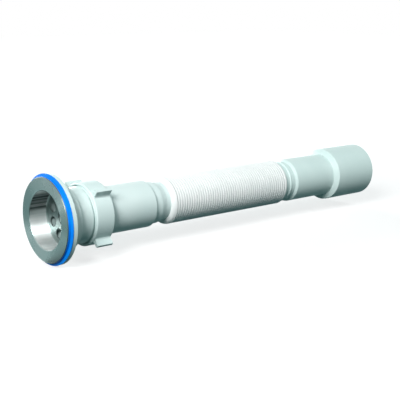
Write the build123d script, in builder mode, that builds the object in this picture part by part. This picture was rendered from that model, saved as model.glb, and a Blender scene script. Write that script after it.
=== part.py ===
from build123d import *
import os

os.makedirs("parts", exist_ok=True)

# Corrugated sink trap, in millimetres, pushed together to its shortest length.
# The origin is the centre of the strainer's front face, +X runs down the tube
# to the outlet, and +Z is up as the trap lies. Every round piece is a section
# (x along the tube, radius) turned about the tube's axis.

# Strainer, pressed from one sheet of stainless steel
sheet = 0.6
strainer_d = 69.2
plug_bore_d = 47.8
cup_depth = 16.5
mouth_round = 1.0
cup_corner = 1.4
rim_bevel = 0.3
dish_d = 13.2
dish_depth = 2.4
drain_hole_d = 8.6
drain_circle_d = 31.0
drain_holes = 8
drain_turn = 22.5

# Fixing screw and the metal insert that it pulls on
screw_d = 6.0
screw_clearance = 0.35
screw_head_d = 11.2
screw_head_h = 2.2
screw_head_round = 1.4
screw_past_insert = 2.0
screw_tip = 0.8
slot_w = 1.4
slot_depth = 1.5
insert_across_flats = 10.0
insert_len = 5.0
thread_clearance = 0.1

# Waste body and the gasket in front of its flange
flange_border = 2.3
flange_t = 4.15
flange_bevel = 0.5
gasket_overhang = 0.2
gasket_t = 3.1
gasket_lip = 0.1
gasket_land = 1.9
gasket_bevel = 0.9
cup_clearance = 0.3
bowl_gap = 0.8
bowl_wall = 1.4
bowl_round = 1.1
ledge_wall = 2.2
taper_len = 10.0
neck_flat = 4.7
ring_lead = 6.2
ring_h = 1.0
ring_w = 0.9
relief_len = 1.6
relief_h = 0.9
thread_d = 47.8
thread_height = 2.4
thread_lead = 1.4
thread_len = 9.3
thread_chamfer = 1.0
neck_wall = 2.5
boss_d = 13.0
rib_t = 2.2
rib_len = 8.0
rib_slope = 5.0
rib_sink = 0.8
ribs = 4

# Union nut
nut_len = 17.0
nut_skirt = 1.95
nut_wall = 2.3
nut_clearance = 0.25
nut_chamfer = 0.8
nut_round = 0.8
wing_h = 6.2
wing_base_w = 4.0
wing_tip_w = 2.8
wing_start = 1.4
wing_back = 0.9
wing_sink = 0.5
wing_root_round = 2.4
wing_tip_round = 0.5
wings = 4

# Sealing washer
washer_t = 2.5
washer_inset = 1.1

# Inlet spigot
pipe_wall = 2.3
collar_t = 2.5
collar_gap = 0.95
barrel_len = 50.5
barrel_step = 2.0
barrel_round = 1.2
neck_len = 16.8
neck_step = 7.0
neck_step_h = 1.5
neck_taper = 6.0
grip_wall = 2.0

# Hose: folds with a narrow land on each crest, and solid cuffs over the grips
pitch = 2.656
crests = 50
crest_d = 41.0
crest_land = 1.2
fold_depth = 5.2
fold_wall = 1.1
cuff_folds = 3
cuff_groove = 1.1
cuff_wall = 4.0
lip_len = 3.6
lip_round = 3.9
rim_len = 1.4
rim_round = 0.6
grip_clearance = 0.1
end_clearance = 0.3

# Outlet spigot
outlet_neck_step = 1.8
outlet_neck_len = 12.9
ridge_from_hose = 6.2
ridge_w = 1.8
ridge_h = 0.8
shoulder_40 = 2.2
pipe_40_d = 40.0
pipe_40_len = 49.4
shoulder_50 = 2.8
pipe_50_d = 50.0
pipe_50_len = 49.6
outlet_bevel = 0.5
shoulder_round = 0.8

# Stations along the tube
gasket_x = sheet
flange_x = gasket_x + gasket_t
flange_back = flange_x + flange_t
dish_floor = cup_depth + dish_depth
boss_x = dish_floor + sheet
bowl_floor = cup_depth + sheet + bowl_gap
bowl_back = bowl_floor + bowl_wall
neck_x = bowl_floor + taper_len
ring_x = bowl_back + neck_flat
ring_back = ring_x + ring_lead + ring_w
thread_x = ring_back + relief_len
body_end = thread_x + thread_len
rib_x = neck_x
boss_end = rib_x + rib_len
insert_x = boss_end - insert_len
collar_x = body_end + washer_t
collar_back = collar_x + collar_t
nut_end = collar_back + nut_clearance + nut_wall
nut_x = nut_end - nut_len
barrel_end = collar_back + barrel_len
hose_x = barrel_end + neck_len
first_crest = hose_x + lip_len
last_crest = first_crest + (crests - 1) * pitch
hose_end = last_crest + rim_len
outlet_neck_x = hose_end + end_clearance
ridge_x = hose_end + ridge_from_hose
pipe_40_x = outlet_neck_x + outlet_neck_len + shoulder_40
pipe_40_end = pipe_40_x + pipe_40_len
pipe_50_x = pipe_40_end + shoulder_50
outlet_end = pipe_50_x + pipe_50_len

# Radii that several pieces share
plug_r = plug_bore_d / 2
cup_r = plug_r + sheet
cup_bore_r = cup_r + cup_clearance
bowl_r = cup_bore_r + bowl_wall
strainer_r = strainer_d / 2
flange_r = strainer_r + flange_border
gasket_r = flange_r + gasket_overhang
screw_r = screw_d / 2
boss_r = boss_d / 2
thread_r = thread_d / 2
neck_r = thread_r - thread_height
relief_r = neck_r + relief_h
ring_r = relief_r + ring_h
ledge_r = relief_r - ledge_wall
way_r = neck_r - neck_wall
nut_bore_r = thread_r + nut_clearance
nut_r = nut_bore_r + nut_skirt
wing_r = nut_r + wing_h
crest_r = crest_d / 2
root_r = crest_r - fold_depth
cuff_bore_r = crest_r - cuff_wall
grip_r = cuff_bore_r - grip_clearance
grip_bore_r = grip_r - grip_wall
inlet_neck_r = grip_r + neck_step_h
barrel_r = inlet_neck_r + barrel_step
pipe_bore_r = barrel_r - pipe_wall
outlet_neck_r = grip_r + outlet_neck_step
pipe_40_r = pipe_40_d / 2
pipe_50_r = pipe_50_d / 2

# The round at the bowl's back takes at most half of the step down to the neck
bowl_edge_round = min(bowl_round, abs(bowl_r - relief_r) / 2)


def round_corner(sketch, x, radius_at, size):
    """Rounds the sketch's corner nearest to (x, radius_at)."""
    fillet(sketch.vertices().sort_by_distance((x, radius_at))[0], size)


def bevel_corner(sketch, x, radius_at, size):
    """Bevels the sketch's corner nearest to (x, radius_at)."""
    chamfer(sketch.vertices().sort_by_distance((x, radius_at))[0], size)


# Strainer: flange, straight plug seat, perforated floor and dish for the screw
with BuildPart() as strainer_cup:
    with BuildSketch(Plane.XZ) as section:
        Polygon(
            [
                (0, plug_r),
                (0, strainer_r),
                (sheet, strainer_r),
                (sheet, cup_r),
                (cup_depth + sheet, cup_r),
                (cup_depth + sheet, dish_d / 2 + sheet),
                (boss_x, dish_d / 2 + sheet),
                (boss_x, screw_r + screw_clearance),
                (dish_floor, screw_r + screw_clearance),
                (dish_floor, dish_d / 2),
                (cup_depth, dish_d / 2),
                (cup_depth, plug_r),
            ]
        )
        round_corner(section, 0, plug_r, mouth_round)
        bevel_corner(section, 0, strainer_r, rim_bevel)
        round_corner(section, cup_depth, plug_r, cup_corner)
        round_corner(section, cup_depth + sheet, cup_r, cup_corner + sheet)
        round_corner(section, boss_x, dish_d / 2 + sheet, sheet)
    revolve(axis=Axis.X)
    with BuildSketch(Plane.YZ.offset(cup_depth - sheet)):
        with PolarLocations(drain_circle_d / 2, drain_holes, start_angle=drain_turn):
            Circle(drain_hole_d / 2)
    extrude(amount=3 * sheet, mode=Mode.SUBTRACT)

# Screw: slotted pan head in the dish, shank down into the insert
with BuildPart() as fixing_screw:
    with BuildSketch(Plane.XZ) as section:
        Polygon(
            [
                (dish_floor - screw_head_h, 0),
                (dish_floor - screw_head_h, screw_head_d / 2),
                (dish_floor, screw_head_d / 2),
                (dish_floor, screw_r),
                (boss_end + screw_past_insert, screw_r),
                (boss_end + screw_past_insert, 0),
            ]
        )
        round_corner(section, dish_floor - screw_head_h, screw_head_d / 2, screw_head_round)
        bevel_corner(section, boss_end + screw_past_insert, screw_r, screw_tip)
    revolve(axis=Axis.X)
    with BuildSketch(Plane.YZ.offset(dish_floor - screw_head_h)):
        Rectangle(slot_w, screw_head_d)
    extrude(amount=slot_depth, mode=Mode.SUBTRACT)

with BuildPart() as threaded_insert:
    with BuildSketch(Plane.YZ.offset(insert_x)):
        RegularPolygon(insert_across_flats / 2, 6, major_radius=False)
        Circle(screw_r + thread_clearance, mode=Mode.SUBTRACT)
    extrude(amount=insert_len)

with BuildPart() as flange_gasket:
    with BuildSketch(Plane.XZ) as section:
        Polygon(
            [
                (gasket_x, cup_bore_r),
                (gasket_x, strainer_r + gasket_lip),
                (gasket_x + gasket_land, strainer_r + gasket_lip),
                (gasket_x + gasket_land + gasket_bevel, gasket_r),
                (flange_x, gasket_r),
                (flange_x, cup_bore_r),
            ]
        )
    revolve(axis=Axis.X)

# Waste body: flange, bowl round the cup, neck, ring, thread and the inside cross
with BuildPart() as waste_body:
    with BuildSketch(Plane.XZ) as section:
        Polygon(
            [
                (flange_x, cup_bore_r),
                (flange_x, flange_r),
                (flange_back, flange_r),
                (flange_back, bowl_r),
                (bowl_back, bowl_r),
                (bowl_back, relief_r),
                (ring_x, relief_r),
                (ring_x + ring_lead, ring_r),
                (ring_back, ring_r),
                (ring_back, relief_r),
                (thread_x, relief_r),
                (thread_x + thread_lead, thread_r),
                (body_end, thread_r),
                (body_end, way_r),
                (neck_x, way_r),
                (bowl_floor, ledge_r),
                (bowl_floor, cup_bore_r),
            ]
        )
        bevel_corner(section, flange_x, flange_r, flange_bevel)
        bevel_corner(section, flange_back, flange_r, flange_bevel)
        round_corner(section, flange_back, bowl_r, bowl_wall / 2)
        round_corner(section, bowl_back, bowl_r, bowl_edge_round)
        round_corner(section, bowl_back, relief_r, bowl_edge_round / 2)
        bevel_corner(section, body_end, thread_r, thread_chamfer)
        round_corner(section, bowl_floor, cup_bore_r, bowl_wall / 2)
        round_corner(section, neck_x, way_r, bowl_wall)
    revolve(axis=Axis.X)
    with BuildSketch(Plane.YZ.offset(boss_x)):
        Circle(boss_r)
    extrude(amount=boss_end - boss_x)
    for rib in range(ribs):
        with BuildSketch(Plane.XZ.rotated((45 + rib * 360 / ribs, 0, 0))):
            Polygon(
                [
                    (rib_x - rib_slope, boss_r - rib_sink),
                    (rib_x, way_r + rib_sink),
                    (boss_end, way_r + rib_sink),
                    (boss_end, boss_r - rib_sink),
                ]
            )
        extrude(amount=rib_t / 2, both=True)
    with BuildSketch(Plane.YZ.offset(boss_x)):
        Circle(screw_r + screw_clearance)
    extrude(amount=boss_end - boss_x, mode=Mode.SUBTRACT)
    with BuildSketch(Plane.YZ.offset(insert_x)):
        RegularPolygon(insert_across_flats / 2, 6, major_radius=False)
    extrude(amount=insert_len, mode=Mode.SUBTRACT)

# Union nut: threaded skirt, back wall behind the collar and four tapered wings
with BuildPart() as union_nut:
    with BuildSketch(Plane.XZ) as section:
        Polygon(
            [
                (nut_x, 0),
                (nut_x, nut_r),
                (nut_end, nut_r),
                (nut_end, 0),
            ]
        )
        bevel_corner(section, nut_x, nut_r, nut_chamfer)
        round_corner(section, nut_end, nut_r, nut_round)
    revolve(axis=Axis.X)
    with BuildSketch(Plane.YZ.offset(nut_x + wing_start)) as cross:
        foot = wing_base_w / 2 + wing_root_round
        with PolarLocations(0, wings, start_angle=45):
            Polygon(
                [
                    (nut_r - 2 * wing_sink, -foot),
                    (nut_r - wing_sink, -foot),
                    (nut_r - wing_sink, -wing_base_w / 2),
                    (wing_r, -wing_tip_w / 2),
                    (wing_r, wing_tip_w / 2),
                    (nut_r - wing_sink, wing_base_w / 2),
                    (nut_r - wing_sink, foot),
                    (nut_r - 2 * wing_sink, foot),
                ]
            )
        fillet(cross.vertices().sort_by_distance((0, 0))[2 * wings : 4 * wings], wing_root_round)
        fillet(cross.vertices().sort_by_distance((0, 0))[-2 * wings :], wing_tip_round)
    extrude(amount=nut_len - wing_start - wing_back)
    with BuildSketch(Plane.XZ):
        Polygon(
            [
                (nut_x, 0),
                (nut_x, nut_bore_r),
                (nut_end - nut_wall, nut_bore_r),
                (nut_end - nut_wall, barrel_r + nut_clearance),
                (nut_end, barrel_r + nut_clearance),
                (nut_end, 0),
            ]
        )
    revolve(axis=Axis.X, mode=Mode.SUBTRACT)

with BuildPart() as sealing_washer:
    with BuildSketch(Plane.XZ) as section:
        Polygon(
            [
                (body_end, way_r),
                (body_end, thread_r - washer_inset),
                (collar_x, thread_r - washer_inset),
                (collar_x, way_r),
            ]
        )
    revolve(axis=Axis.X)


def crest_x(k):
    """Place of crest k along the hose."""
    return first_crest + k * pitch


def root_x(k):
    """Place of root k, between crests k and k + 1."""
    return crest_x(k) + pitch / 2


# The folds between these crests are deep; the others are grooves in the cuffs
first_deep = cuff_folds
last_deep = crests - 2 - cuff_folds
inner_crest_r = crest_r - fold_wall
inner_root_r = root_r - fold_wall
cuff_reach = pitch / 2 * (inner_crest_r - cuff_bore_r) / (inner_crest_r - inner_root_r)
front_cuff_end = crest_x(first_deep) + cuff_reach
back_cuff_x = crest_x(last_deep + 1) - cuff_reach
grip_end = front_cuff_end - end_clearance
outlet_grip_x = back_cuff_x + end_clearance

# Inlet spigot: collar, barrel, tapered neck and the grip inside the hose's cuff
with BuildPart() as inlet_spigot:
    with BuildSketch(Plane.XZ) as section:
        Polygon(
            [
                (collar_x, way_r),
                (collar_x, nut_bore_r - collar_gap),
                (collar_back, nut_bore_r - collar_gap),
                (collar_back, barrel_r),
                (barrel_end, barrel_r),
                (barrel_end, inlet_neck_r),
                (barrel_end + neck_step, inlet_neck_r),
                (barrel_end + neck_step + neck_taper, grip_r),
                (grip_end, grip_r),
                (grip_end, grip_bore_r),
                (barrel_end - pipe_wall, grip_bore_r),
                (barrel_end - 2 * pipe_wall, pipe_bore_r),
                (collar_back, pipe_bore_r),
            ]
        )
        round_corner(section, barrel_end, barrel_r, barrel_round)
    revolve(axis=Axis.X)

# Hose: thin folds between two solid cuffs
with BuildPart() as corrugated_hose:
    outer = [(hose_x, cuff_bore_r), (hose_x, crest_r)]
    for k in range(crests - 1):
        is_deep = first_deep <= k <= last_deep
        outer.append((crest_x(k) + crest_land / 2, crest_r))
        outer.append((root_x(k), root_r if is_deep else crest_r - cuff_groove))
        outer.append((crest_x(k + 1) - crest_land / 2, crest_r))
    outer.extend([(hose_end, crest_r), (hose_end, cuff_bore_r)])
    inner = [(back_cuff_x, cuff_bore_r), (root_x(last_deep), inner_root_r)]
    for k in range(last_deep, first_deep, -1):
        inner.append((crest_x(k), inner_crest_r))
        inner.append((root_x(k - 1), inner_root_r))
    inner.append((front_cuff_end, cuff_bore_r))
    with BuildSketch(Plane.XZ) as section:
        Polygon(outer + inner)
        round_corner(section, hose_x, crest_r, lip_round)
        round_corner(section, hose_end, crest_r, rim_round)
    revolve(axis=Axis.X)

# Outlet spigot: grip, ridged neck, 40 mm pipe and 50 mm pipe
with BuildPart() as outlet_spigot:
    with BuildSketch(Plane.XZ) as section:
        Polygon(
            [
                (outlet_grip_x, grip_bore_r),
                (outlet_grip_x, grip_r),
                (outlet_neck_x, grip_r),
                (outlet_neck_x, outlet_neck_r),
                (ridge_x, outlet_neck_r),
                (ridge_x + ridge_w / 2, outlet_neck_r + ridge_h),
                (ridge_x + ridge_w, outlet_neck_r),
                (outlet_neck_x + outlet_neck_len, outlet_neck_r),
                (pipe_40_x, pipe_40_r),
                (pipe_40_end, pipe_40_r),
                (pipe_50_x, pipe_50_r),
                (outlet_end, pipe_50_r),
                (outlet_end, pipe_50_r - pipe_wall),
                (pipe_50_x + pipe_wall / 2, pipe_50_r - pipe_wall),
                (pipe_40_end + pipe_wall / 2, pipe_40_r - pipe_wall),
                (pipe_40_x + pipe_wall, pipe_40_r - pipe_wall),
                (pipe_40_x, grip_bore_r),
            ]
        )
        round_corner(section, pipe_40_end, pipe_40_r, shoulder_round)
        round_corner(section, pipe_50_x, pipe_50_r, shoulder_round)
        bevel_corner(section, outlet_end, pipe_50_r, outlet_bevel)
    revolve(axis=Axis.X)

pieces = {
    "strainer_cup": strainer_cup,
    "fixing_screw": fixing_screw,
    "threaded_insert": threaded_insert,
    "flange_gasket": flange_gasket,
    "waste_body": waste_body,
    "union_nut": union_nut,
    "sealing_washer": sealing_washer,
    "inlet_spigot": inlet_spigot,
    "corrugated_hose": corrugated_hose,
    "outlet_spigot": outlet_spigot,
}
for name, piece in pieces.items():
    piece.part.label = name
    export_step(piece.part, f"parts/{name}.step")
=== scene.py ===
import math
import bmesh
import bpy
from mathutils import Matrix, Vector


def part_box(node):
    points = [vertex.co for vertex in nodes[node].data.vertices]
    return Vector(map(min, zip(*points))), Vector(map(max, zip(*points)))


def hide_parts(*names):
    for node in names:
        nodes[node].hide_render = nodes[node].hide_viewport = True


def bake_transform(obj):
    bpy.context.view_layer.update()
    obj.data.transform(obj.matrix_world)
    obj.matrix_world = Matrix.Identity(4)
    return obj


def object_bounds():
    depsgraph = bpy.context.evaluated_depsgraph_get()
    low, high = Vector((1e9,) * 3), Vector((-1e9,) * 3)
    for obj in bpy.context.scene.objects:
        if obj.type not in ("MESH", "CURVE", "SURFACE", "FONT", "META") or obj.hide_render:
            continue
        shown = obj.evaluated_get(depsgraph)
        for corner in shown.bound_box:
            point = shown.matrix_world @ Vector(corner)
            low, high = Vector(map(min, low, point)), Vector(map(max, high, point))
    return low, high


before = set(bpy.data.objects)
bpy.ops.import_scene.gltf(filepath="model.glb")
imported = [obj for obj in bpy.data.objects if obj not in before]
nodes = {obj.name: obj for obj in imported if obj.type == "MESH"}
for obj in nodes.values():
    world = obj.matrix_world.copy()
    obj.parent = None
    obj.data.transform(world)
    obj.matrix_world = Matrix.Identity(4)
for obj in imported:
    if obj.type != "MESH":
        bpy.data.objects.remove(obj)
cad_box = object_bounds()
hose_low, hose_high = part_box("corrugated_hose")


# Sizes in metres. The hose's length, place and outside come from the frame

MM = 0.001
FOLDS = 50
CUFF_FOLDS = 3
LIP_LEN = 3.6 * MM
RIM_LEN = 1.4 * MM
FIRST_CREST = hose_low.x + LIP_LEN
PITCH = (hose_high.x - RIM_LEN - FIRST_CREST) / (FOLDS - 1)
CREST_R = hose_high.z
CREST_HALF = 1.12 * MM
# One side of a crest, from its top down, as shares of CREST_HALF across and down
CREST_SHAPE = [(0.0, 0.0), (0.6, 0.02), (0.84, 0.10), (0.96, 0.24), (1.0, 0.42)]
DEEP_ROOT_R = 15.5 * MM
CUFF_ROOT_R = 19.4 * MM
ROOT_HALF = 0.12 * MM
FOLD_WALL = 1.05 * MM
CUFF_BORE_R = 16.5 * MM
CUFF_STEP = 0.5 * MM
LIP_ROUND = 3.9 * MM
LIP_STEPS = 8
RIM_ROUND = 0.55 * MM
RIM_MIDDLE = 0.3 * RIM_ROUND
HOSE_SEGMENTS = 96

# Where the finish and its painted shade change on the strainer (along the tube and by radius), and where
# the painted shade starts in the body's waterway
CUP_MOUTH = (0.2 * MM, 1.0 * MM)
CUP_FLOOR = (15.2 * MM, 16.0 * MM)
CUT_EDGE = (34.25 * MM, 34.4 * MM)
BODY_WAY = (20.4 * MM, 20.8 * MM)


# Materials

def linear(rgb):
    """Linear colour of 0 to 255 display values."""
    def one(value):
        value /= 255
        return value / 12.92 if value <= 0.04045 else ((value + 0.055) / 1.055) ** 2.4
    return tuple(one(value) for value in rgb) + (1,)


class Looks:
    """A new material, with short calls that add and join its shader nodes."""

    def __init__(self, name):
        self.material = bpy.data.materials.new(name)
        self.material.use_nodes = True
        self.tree = self.material.node_tree
        self.shader = self.tree.nodes["Principled BSDF"]
        self.place = self.add("ShaderNodeTexCoord").outputs["Object"]

    def add(self, kind, **settings):
        node = self.tree.nodes.new(kind)
        for key, value in settings.items():
            setattr(node, key, value)
        return node

    def link(self, source, target):
        self.tree.links.new(source, target)

    def feed(self, socket, value):
        """Joins value to the socket where it is another socket, or else sets it."""
        if isinstance(value, bpy.types.NodeSocket):
            self.link(value, socket)
        else:
            socket.default_value = value

    def into(self, name, source):
        self.link(source, self.shader.inputs[name])

    def set(self, **values):
        for key, value in values.items():
            self.shader.inputs[key.replace("_", " ")].default_value = value

    def noise(self, scale, detail, place=None):
        """Noise in object coordinates, or in those of place."""
        node = self.add("ShaderNodeTexNoise")
        node.inputs["Scale"].default_value = scale
        node.inputs["Detail"].default_value = detail
        self.link(place or self.place, node.inputs["Vector"])
        return node.outputs["Fac"]

    def point(self, x, y):
        """Coordinates made of two values."""
        node = self.add("ShaderNodeCombineXYZ")
        self.link(x, node.inputs["X"])
        self.link(y, node.inputs["Y"])
        return node.outputs["Vector"]

    def math(self, operation, a, b=0.0):
        node = self.add("ShaderNodeMath", operation=operation)
        self.feed(node.inputs[0], a)
        self.feed(node.inputs[1], b)
        return node.outputs[0]

    def spread(self, value, start, end, low=0.0, high=1.0):
        """Goes smoothly from low to high as value goes from start to end."""
        node = self.add("ShaderNodeMapRange", interpolation_type="SMOOTHSTEP")
        self.link(value, node.inputs["Value"])
        limits = {"From Min": start, "From Max": end, "To Min": low, "To Max": high}
        for key, number in limits.items():
            node.inputs[key].default_value = number
        return node.outputs["Result"]

    def mix(self, factor, a, b):
        """Colour between a and b."""
        node = self.add("ShaderNodeMix", data_type="RGBA")
        self.link(factor, node.inputs["Factor"])
        self.feed(node.inputs["A"], a)
        self.feed(node.inputs["B"], b)
        return node.outputs["Result"]

    def bump(self, height, strength, distance, below=None):
        node = self.add("ShaderNodeBump")
        node.inputs["Strength"].default_value = strength
        node.inputs["Distance"].default_value = distance
        self.link(height, node.inputs["Height"])
        if below:
            self.link(below, node.inputs["Normal"])
        return node.outputs["Normal"]

    def round_the_tube(self):
        """Radius, place along the tube, and the sine and cosine of the angle round it."""
        split = self.add("ShaderNodeSeparateXYZ")
        self.link(self.place, split.inputs["Vector"])
        along, y, z = split.outputs
        squares = self.math("ADD", self.math("MULTIPLY", y, y), self.math("MULTIPLY", z, z))
        radius = self.math("SQRT", squares)
        return radius, along, self.math("DIVIDE", z, radius), self.math("DIVIDE", y, radius)


def moulded_plastic(name, bright, shade, roughness, grain=0.10, inside=None):
    """Injection-moulded polypropylene: faint tone drift, fine orange peel, satin gloss.

    inside is the painted shade of the waterway: a darker colour where a pipe's mouth keeps the light out.
    """
    m = Looks(name)
    drift = m.noise(scale=22, detail=4)
    colour = m.mix(m.spread(drift, 0.35, 0.65), linear(shade), linear(bright))
    if inside:
        radius = m.round_the_tube()[0]
        # Painted shade: darker where the radius is under BODY_WAY, in the waterway.
        colour = m.mix(m.spread(radius, *BODY_WAY), linear(inside), colour)
    m.into("Base Color", colour)
    patches = m.noise(scale=90, detail=3)
    m.into("Roughness", m.spread(patches, 0.3, 0.7, roughness - 0.05, roughness + 0.06))
    peel = m.bump(m.noise(scale=700, detail=2), strength=grain, distance=0.12 * MM)
    fine = m.noise(scale=3200, detail=2)
    m.into("Normal", m.bump(fine, strength=grain * 0.8, distance=0.04 * MM, below=peel))
    m.set(IOR=1.49, Specular_IOR_Level=0.3)
    return m.material


def strainer_steel():
    """Satin face with spun rings, a rougher cut edge painted dark as shade, a cup floor painted darker as
    shade, and a polished, drawn wall in the cup with painted dark reflection and shade on its top side.
    """
    m = Looks("strainer_steel_looks")
    radius, along, sine, cosine = m.round_the_tube()
    cup = m.spread(along, *CUP_MOUTH)
    wall = m.math("MULTIPLY", cup, m.spread(along, *CUP_FLOOR, 1, 0))
    edge = m.spread(radius, *CUT_EDGE)
    rings = m.noise(scale=4200, detail=3, place=m.point(radius, m.math("MULTIPLY", along, 0.2)))
    cloud = m.noise(scale=60, detail=4)
    streak = m.noise(scale=9, detail=2, place=m.point(sine, cosine))

    satin = m.mix(m.spread(rings, 0.3, 0.7), linear((172, 190, 189)), linear((190, 205, 203)))
    satin = m.mix(m.spread(cloud, 0.4, 0.6, 0, 0.35), satin, linear((180, 196, 194)))
    # Painted shade: the satin steel in the cup, seen on its floor, is darker, for the shade in the recess.
    satin = m.mix(cup, satin, linear((146, 162, 160)))
    # Painted shade: the cut edge is darker, for the shade line between the steel rim and the gasket; it is
    # also rougher, below.
    satin = m.mix(edge, satin, linear((112, 114, 102)))

    # Painted dark reflection and shade on the top side of the cup's wall, broken up by the streaks.
    top_wall_painted_shade = m.math("MULTIPLY", m.spread(sine, 0.10, 0.26), m.spread(sine, 0.74, 0.90, 1, 0.3))
    top_wall_painted_shade = m.math("MULTIPLY", top_wall_painted_shade, m.spread(streak, 0.35, 0.60, 0.6, 1.0))
    # Streaks along the cup: draw marks, and painted reflection bands.
    polished = m.mix(m.spread(streak, 0.35, 0.65, 0, 0.5), linear((238, 242, 241)), linear((214, 222, 221)))
    polished = m.mix(top_wall_painted_shade, polished, linear((64, 77, 77)))
    m.into("Base Color", m.mix(wall, satin, polished))

    roughness = m.math("ADD", m.spread(cup, 0, 1, 0.25, 0.32), m.math("MULTIPLY", wall, 0.18))
    roughness = m.math("ADD", roughness, m.math("MULTIPLY", edge, 0.2))
    m.into("Roughness", m.math("ADD", roughness, m.spread(cloud, 0.3, 0.7, 0, 0.05)))
    m.into("Normal", m.bump(rings, strength=0.12, distance=0.02 * MM))
    round_axis = m.add("ShaderNodeTangent", direction_type="RADIAL", axis="X")
    m.into("Tangent", round_axis.outputs["Tangent"])
    m.set(Metallic=1.0, Anisotropic=0.9, Anisotropic_Rotation=0.25)
    return m.material


def screw_steel():
    m = Looks("screw_steel_looks")
    tone = m.noise(scale=300, detail=3)
    m.into("Base Color", m.mix(tone, linear((186, 192, 192)), linear((214, 218, 218))))
    m.into("Roughness", m.spread(m.noise(scale=500, detail=3), 0.3, 0.7, 0.18, 0.34))
    m.into("Normal", m.bump(m.noise(scale=1500, detail=2), strength=0.1, distance=0.02 * MM))
    m.set(Metallic=1.0)
    return m.material


def brass():
    m = Looks("insert_brass_looks")
    tone = m.noise(scale=250, detail=3)
    m.into("Base Color", m.mix(tone, linear((186, 150, 84)), linear((214, 180, 110))))
    m.into("Roughness", m.spread(m.noise(scale=500, detail=3), 0.3, 0.7, 0.25, 0.42))
    m.set(Metallic=1.0)
    return m.material


def rubber(name, bright, shade, roughness):
    """Soft moulded rubber: fine grain, and a little bloom in patches."""
    m = Looks(name)
    bloom = m.spread(m.noise(scale=45, detail=4), 0.35, 0.65)
    m.into("Base Color", m.mix(bloom, linear(shade), linear(bright)))
    patches = m.noise(scale=160, detail=3)
    m.into("Roughness", m.spread(patches, 0.3, 0.7, roughness - 0.06, roughness + 0.08))
    m.into("Normal", m.bump(m.noise(scale=1800, detail=3), strength=0.18, distance=0.05 * MM))
    m.set(IOR=1.5, Specular_IOR_Level=0.2)
    return m.material


hose_plastic = moulded_plastic(
    "hose_plastic_looks", bright=(246, 247, 246), shade=(241, 243, 242), roughness=0.50, grain=0.03
)
looks = {
    "strainer_cup": strainer_steel(),
    "fixing_screw": screw_steel(),
    "threaded_insert": brass(),
    "flange_gasket": rubber(
        "blue_rubber_looks", bright=(0, 140, 246), shade=(0, 128, 236), roughness=0.42
    ),
    "waste_body": moulded_plastic(
        "body_plastic_looks", bright=(219, 234, 232), shade=(212, 229, 227), roughness=0.38,
        inside=(146, 163, 161),
    ),
    "union_nut": moulded_plastic(
        "nut_plastic_looks", bright=(218, 233, 231), shade=(210, 228, 226), roughness=0.48, grain=0.16
    ),
    "sealing_washer": rubber(
        "grey_rubber_looks", bright=(66, 68, 70), shade=(54, 56, 58), roughness=0.6
    ),
    "inlet_spigot": moulded_plastic(
        "grey_plastic_looks", bright=(223, 237, 235), shade=(216, 232, 230), roughness=0.38
    ),
    "corrugated_hose": hose_plastic,
    "outlet_spigot": moulded_plastic(
        "outlet_plastic_looks", bright=(221, 238, 235), shade=(214, 233, 230), roughness=0.36
    ),
}
for name, material in looks.items():
    for slot in nodes[name].material_slots:
        slot.material = material


# The hose, with rounded folds

def crest_x(k):
    return FIRST_CREST + k * PITCH


def root_x(k):
    """Place of root k, between crests k and k + 1."""
    return crest_x(k) + PITCH / 2


def is_deep(k):
    """Root k belongs to a full fold, and not to a cuff's groove."""
    return CUFF_FOLDS <= k <= FOLDS - 2 - CUFF_FOLDS


def crest_side(x, side):
    """Points of one side of a crest, from its top down (side 1) or up to its top (side -1)."""
    points = [(x + side * CREST_HALF * across, CREST_R - CREST_HALF * down) for across, down in CREST_SHAPE]
    return points if side > 0 else points[::-1][:-1]


def hose_lip():
    """Quarter round at the hose's inlet end."""
    points = []
    for step in range(LIP_STEPS + 1):
        turn = math.pi / 2 * step / LIP_STEPS
        x = hose_low.x + LIP_ROUND * (1 - math.cos(turn))
        points.append((x, CREST_R - LIP_ROUND * (1 - math.sin(turn))))
    return points


def hose_profile():
    """Closed (x, radius) outline: lip, crests, rim, and back along the inside."""
    end = hose_high.x
    last_deep = FOLDS - 2 - CUFF_FOLDS
    points = [(hose_low.x, CUFF_BORE_R)] + hose_lip()
    for k in range(FOLDS - 1):
        root_r = DEEP_ROOT_R if is_deep(k) else CUFF_ROOT_R
        points.extend(crest_side(crest_x(k), 1))
        points.append((root_x(k) - ROOT_HALF, root_r))
        points.append((root_x(k) + ROOT_HALF, root_r))
        points.extend(crest_side(crest_x(k + 1), -1))
    points.append((end - RIM_ROUND, CREST_R))
    points.append((end - RIM_MIDDLE, CREST_R - RIM_MIDDLE))
    points.append((end, CREST_R - RIM_ROUND))
    points.append((end, CUFF_BORE_R))
    points.append((crest_x(last_deep + 1) - CUFF_STEP, CUFF_BORE_R))
    for k in range(last_deep, CUFF_FOLDS - 1, -1):
        points.append((root_x(k), DEEP_ROOT_R - FOLD_WALL))
        if k > CUFF_FOLDS:
            points.append((crest_x(k), CREST_R - FOLD_WALL))
    points.append((crest_x(CUFF_FOLDS) + CUFF_STEP, CUFF_BORE_R))
    return points


def lathe(name, profile, segments):
    """Closed profile of (x, radius) points turned about X."""
    mesh = bpy.data.meshes.new(name)
    body = bmesh.new()
    rings = []
    for s in range(segments):
        turn = 2 * math.pi * s / segments
        rings.append([body.verts.new((x, r * math.cos(turn), r * math.sin(turn))) for x, r in profile])
    count = len(profile)
    for s in range(segments):
        here, there = rings[s], rings[(s + 1) % segments]
        for i in range(count):
            j = (i + 1) % count
            body.faces.new((here[i], here[j], there[j], there[i]))
    bmesh.ops.recalc_face_normals(body, faces=body.faces)
    for face in body.faces:
        face.smooth = True
    body.to_mesh(mesh)
    body.free()
    piece = bpy.data.objects.new(name, mesh)
    bpy.context.scene.collection.objects.link(piece)
    return piece


def make_hose():
    """Stands for the plain folds, and stretches between its two cuffs."""
    hose = lathe("hose_folds", hose_profile(), HOSE_SEGMENTS)
    hose.data.materials.append(hose_plastic)
    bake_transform(hose)
    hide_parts("corrugated_hose")


make_hose()


# Studio

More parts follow.
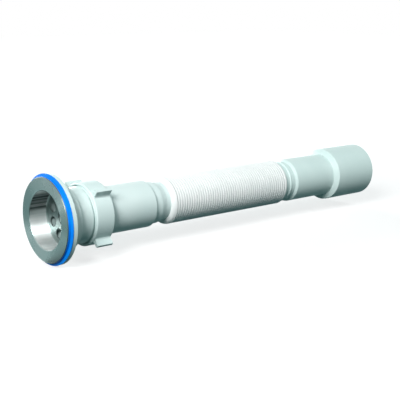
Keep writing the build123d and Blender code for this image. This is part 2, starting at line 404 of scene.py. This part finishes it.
AIM = Vector((0.16, 0, 0))
FLOOR_Z = cad_box[0].z
FLOOR_HALF = 4.0
FLOOR_GREY = (0.4, 0.4, 0.4, 1)
FLOOR_BOUNCE = (0.03, 0.07, 0.07, 1)
GLOW_CENTRE = (0.18, 0, 0)
GLOW_REACH = (0.3, 0.7)
GLOW_UNDER_TRAP = 0.68
SOFT_LIGHT = (0.18, 0.96, 1.0, 1)
SOFT_STRENGTH = 0.09
WHITE = (1, 1, 1, 1)


def backdrop_world():
    """White to the camera, gloss and glass, and faint cool light for everything else."""
    world = bpy.data.worlds.new("studio")
    bpy.context.scene.world = world
    world.use_nodes = True
    tree = world.node_tree
    tree.nodes.clear()

    def background(colour, strength):
        node = tree.nodes.new("ShaderNodeBackground")
        node.inputs["Color"].default_value = colour
        node.inputs["Strength"].default_value = strength
        return node.outputs[0]

    def larger(a, b):
        node = tree.nodes.new("ShaderNodeMath")
        node.operation = "MAXIMUM"
        tree.links.new(a, node.inputs[0])
        tree.links.new(b, node.inputs[1])
        return node.outputs[0]

    rays = tree.nodes.new("ShaderNodeLightPath").outputs
    seen = larger(larger(rays["Is Camera Ray"], rays["Is Transmission Ray"]), rays["Is Glossy Ray"])
    mix = tree.nodes.new("ShaderNodeMixShader")
    tree.links.new(seen, mix.inputs["Fac"])
    tree.links.new(background(SOFT_LIGHT, SOFT_STRENGTH), mix.inputs[1])
    tree.links.new(background(WHITE, 1.0), mix.inputs[2])
    output = tree.nodes.new("ShaderNodeOutputWorld")
    tree.links.new(mix.outputs[0], output.inputs["Surface"])


def floor_material():
    """White to the camera except in shadow, and dull for the light that it throws back."""
    m = Looks("floor_looks")
    m.tree.nodes.remove(m.shader)
    output = next(node for node in m.tree.nodes if node.type == "OUTPUT_MATERIAL")
    pale = m.add("ShaderNodeBsdfDiffuse")
    pale.inputs["Color"].default_value = FLOOR_GREY
    distance = m.add("ShaderNodeVectorMath", operation="DISTANCE")
    m.link(m.place, distance.inputs[0])
    distance.inputs[1].default_value = GLOW_CENTRE
    glow = m.add("ShaderNodeEmission")
    strength = m.spread(distance.outputs["Value"], *GLOW_REACH, GLOW_UNDER_TRAP, 1.0)
    m.link(strength, glow.inputs["Strength"])
    lit = m.add("ShaderNodeAddShader")
    m.link(pale.outputs[0], lit.inputs[0])
    m.link(glow.outputs[0], lit.inputs[1])
    dull = m.add("ShaderNodeBsdfDiffuse")
    dull.inputs["Color"].default_value = FLOOR_BOUNCE
    rays = m.add("ShaderNodeLightPath").outputs
    seen = m.math("MAXIMUM", rays["Is Camera Ray"], rays["Is Transmission Ray"])
    seen = m.math("MAXIMUM", seen, rays["Is Glossy Ray"])
    mix = m.add("ShaderNodeMixShader")
    m.link(seen, mix.inputs["Fac"])
    m.link(dull.outputs[0], mix.inputs[1])
    m.link(lit.outputs[0], mix.inputs[2])
    m.link(mix.outputs[0], output.inputs["Surface"])
    return m.material


def level_sheet(name, x, y, z):
    """Single level face between two places along x and two along y."""
    mesh = bpy.data.meshes.new(name)
    corners = [(x[0], y[0], z), (x[1], y[0], z), (x[1], y[1], z), (x[0], y[1], z)]
    mesh.from_pydata(corners, [], [(0, 1, 2, 3)])
    sheet = bpy.data.objects.new(name, mesh)
    bpy.context.scene.collection.objects.link(sheet)
    return sheet


def make_floor():
    """Level floor that the gasket's rim touches."""
    span = (-FLOOR_HALF, FLOOR_HALF)
    floor = level_sheet("floor", span, span, FLOOR_Z)
    floor.data.materials.append(floor_material())


def floor_card(name, x, y, lift, colour):
    """Studio flag a little above the floor, which only reflections show."""
    card = level_sheet(name, x, y, FLOOR_Z + lift)
    material = bpy.data.materials.new(name + "_looks")
    material.use_nodes = True
    tree = material.node_tree
    tree.nodes.clear()
    glow = tree.nodes.new("ShaderNodeEmission")
    glow.inputs["Color"].default_value = colour
    output = tree.nodes.new("ShaderNodeOutputMaterial")
    tree.links.new(glow.outputs[0], output.inputs["Surface"])
    card.data.materials.append(material)
    card.visible_camera = False
    card.visible_diffuse = False
    card.visible_transmission = False
    card.visible_shadow = False


def area_light(name, place, size, watts):
    """Round soft lamp aimed at the trap's middle."""
    light = bpy.data.lights.new(name, "AREA")
    light.shape = "DISK"
    light.size = size
    light.energy = watts
    lamp = bpy.data.objects.new(name, light)
    bpy.context.scene.collection.objects.link(lamp)
    lamp.location = place
    lamp.rotation_euler = (AIM - Vector(place)).to_track_quat("-Z", "Y").to_euler()


def make_camera():
    """The photograph's view: a pinhole camera fitted to the trap's own circles."""
    place = Vector((-0.3721, -0.6377, 0.1711))
    right = Vector((0.76794, -0.64052, 0))
    up = Vector((0.13301, 0.15947, 0.97820))
    turn = Matrix((right, up, right.cross(up))).transposed().to_4x4()
    data = bpy.data.cameras.new("camera")
    data.sensor_width = 36
    data.lens = 85.27
    data.clip_start = 0.01
    data.clip_end = 50
    camera = bpy.data.objects.new("camera", data)
    bpy.context.scene.collection.objects.link(camera)
    camera.matrix_world = Matrix.Translation(place) @ turn
    bpy.context.scene.camera = camera


backdrop_world()
make_floor()
floor_card("grey_card", x=(-0.6, 0.6), y=(-0.8, 0.8), lift=0.3 * MM, colour=(0.26, 0.38, 0.38, 1))
floor_card("pale_card", x=(-0.07, -0.001), y=(-0.05, 0.14), lift=0.6 * MM, colour=(0.42, 0.56, 0.56, 1))
floor_card("black_card", x=(-0.11, -0.004), y=(-0.17, 0.01), lift=0.9 * MM, colour=(0.01, 0.015, 0.015, 1))
area_light("key", place=(-1.2, -0.73, 0.91), size=0.8, watts=34)
area_light("side", place=(0.66, -1.16, 1.24), size=0.8, watts=9)
area_light("back", place=(0.42, 1.65, 0.50), size=1.0, watts=24)
make_camera()
bpy.context.scene.view_settings.view_transform = "Standard"
